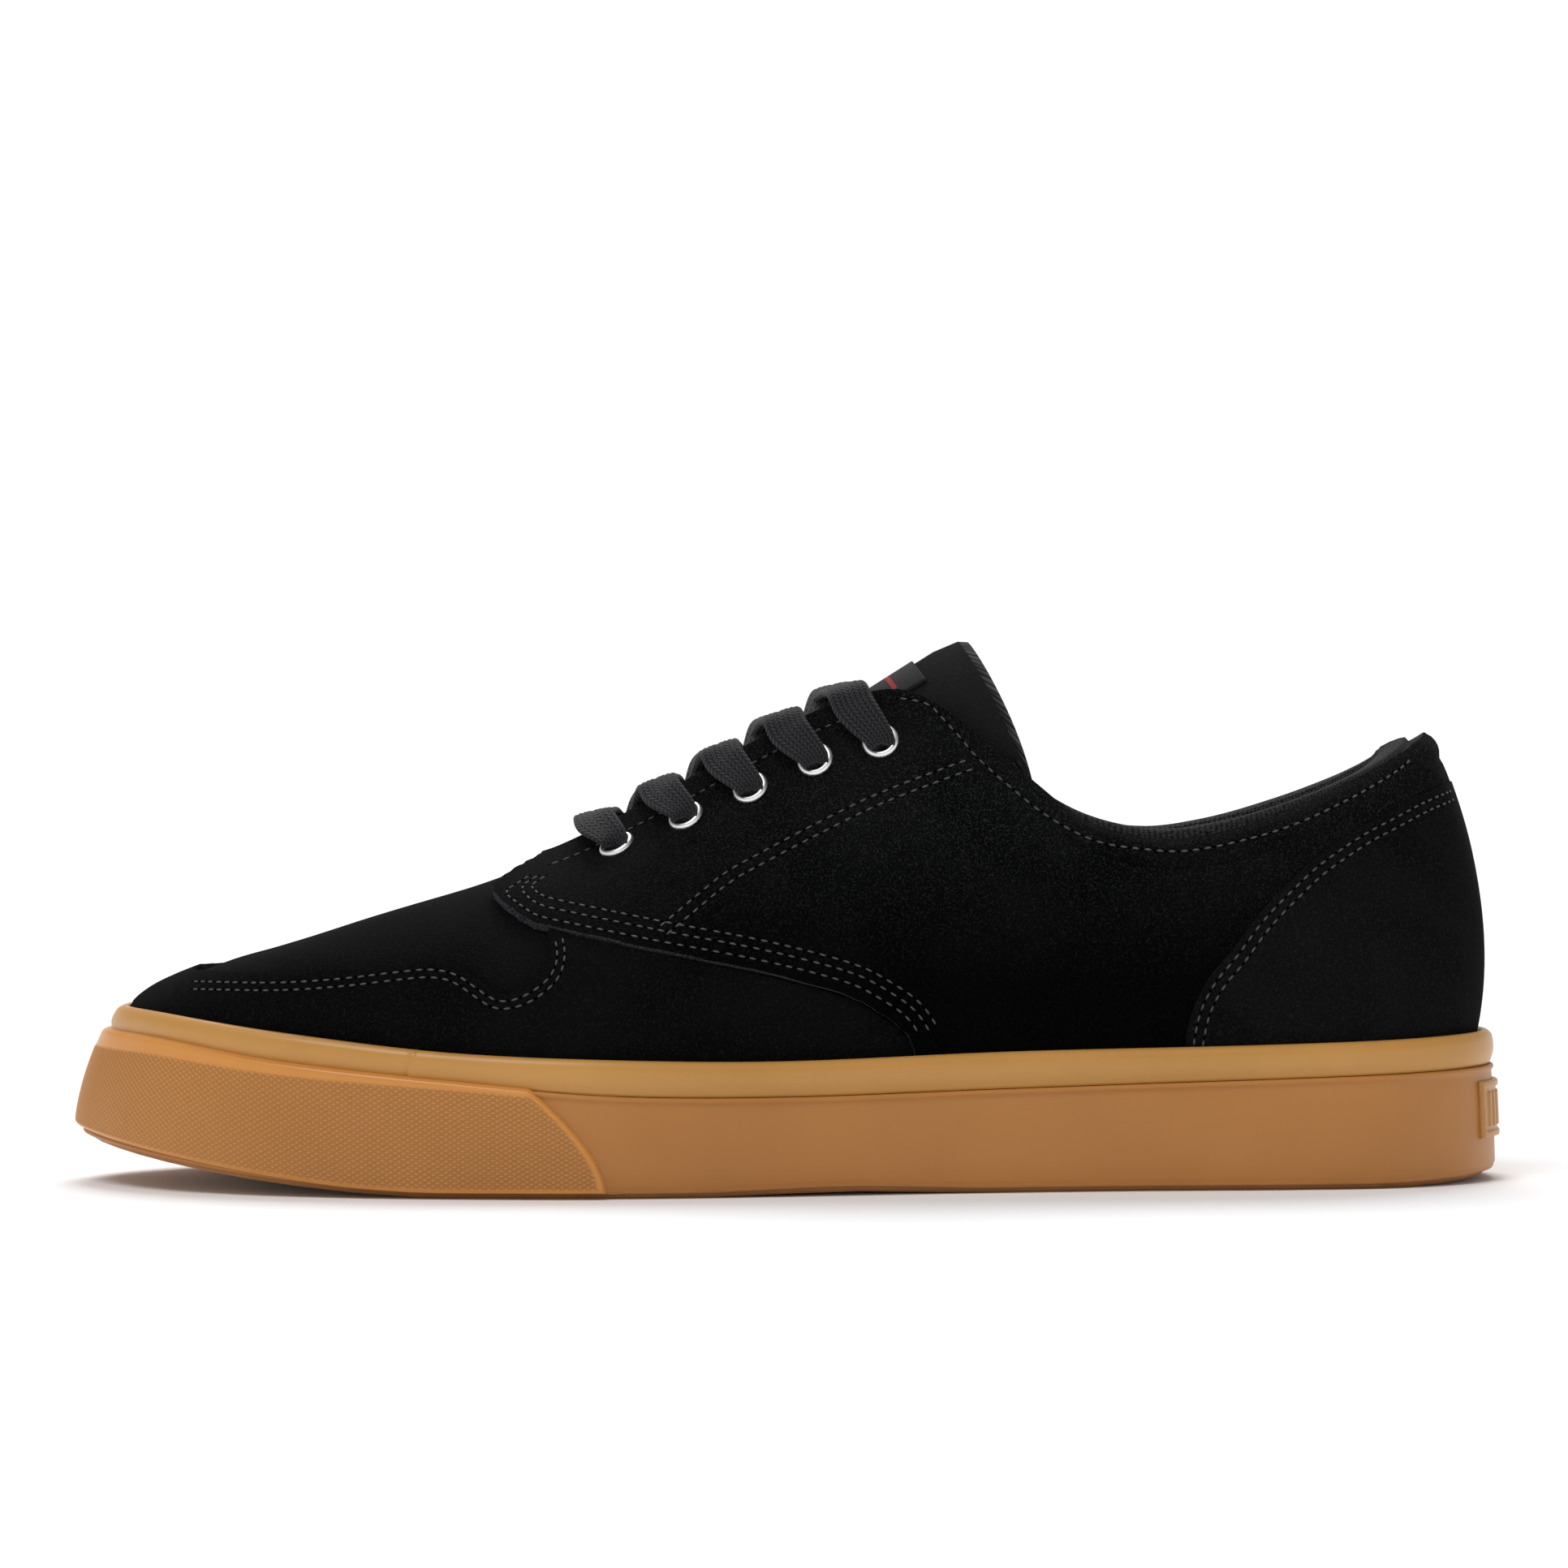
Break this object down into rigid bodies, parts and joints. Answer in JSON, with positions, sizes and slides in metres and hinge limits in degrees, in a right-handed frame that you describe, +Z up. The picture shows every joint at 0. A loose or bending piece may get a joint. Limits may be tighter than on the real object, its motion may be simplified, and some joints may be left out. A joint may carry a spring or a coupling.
{
  "type": "skate shoe",
  "caption": "Low laced skate shoe for the left foot: suede upper with layered panels, padded tongue and collar, on a moulded gum rubber cup sole with a textured toe bumper.",
  "frame": {"origin": "middle of the bounding box, on the plane that the shoe stands on", "axes": "-X points to the toe, +X to the heel, -Y to the outer side of the left foot, +Z up"},
  "size_m": [0.2979, 0.1101, 0.1115],
  "materials": {
    "tread_gum": "matt",
    "side_gum": "satin",
    "tape_gum": "satin",
    "lining": "matt",
    "suede": "napped",
    "knit": "matt",
    "label": "matt",
    "eyelet_metal": "satin",
    "lace": "matt"
  },
  "bodies": {
    "root": {"outsole": "tread_gum", "sidewall": "side_gum", "foxing_tape": "tape_gum", "toe_bumper": "side_gum", "heel_badge": "side_gum", "insole": "lining", "upper": "suede", "toe_guard": "suede", "quarter_outer": "suede", "quarter_inner": "suede", "heel_counter": "suede", "collar_pad": "knit", "tongue": "suede", "tongue_label": "label", "eyelet_outer_1": "eyelet_metal", "eyelet_outer_2": "eyelet_metal", "eyelet_outer_3": "eyelet_metal", "eyelet_outer_4": "eyelet_metal", "eyelet_outer_5": "eyelet_metal", "eyelet_inner_1": "eyelet_metal", "eyelet_inner_2": "eyelet_metal", "eyelet_inner_3": "eyelet_metal", "eyelet_inner_4": "eyelet_metal", "eyelet_inner_5": "eyelet_metal", "lace_bar": "lace", "lace_cross_1": "lace", "lace_cross_2": "lace", "lace_cross_3": "lace", "lace_cross_4": "lace"}
  },
  "joints": []
}
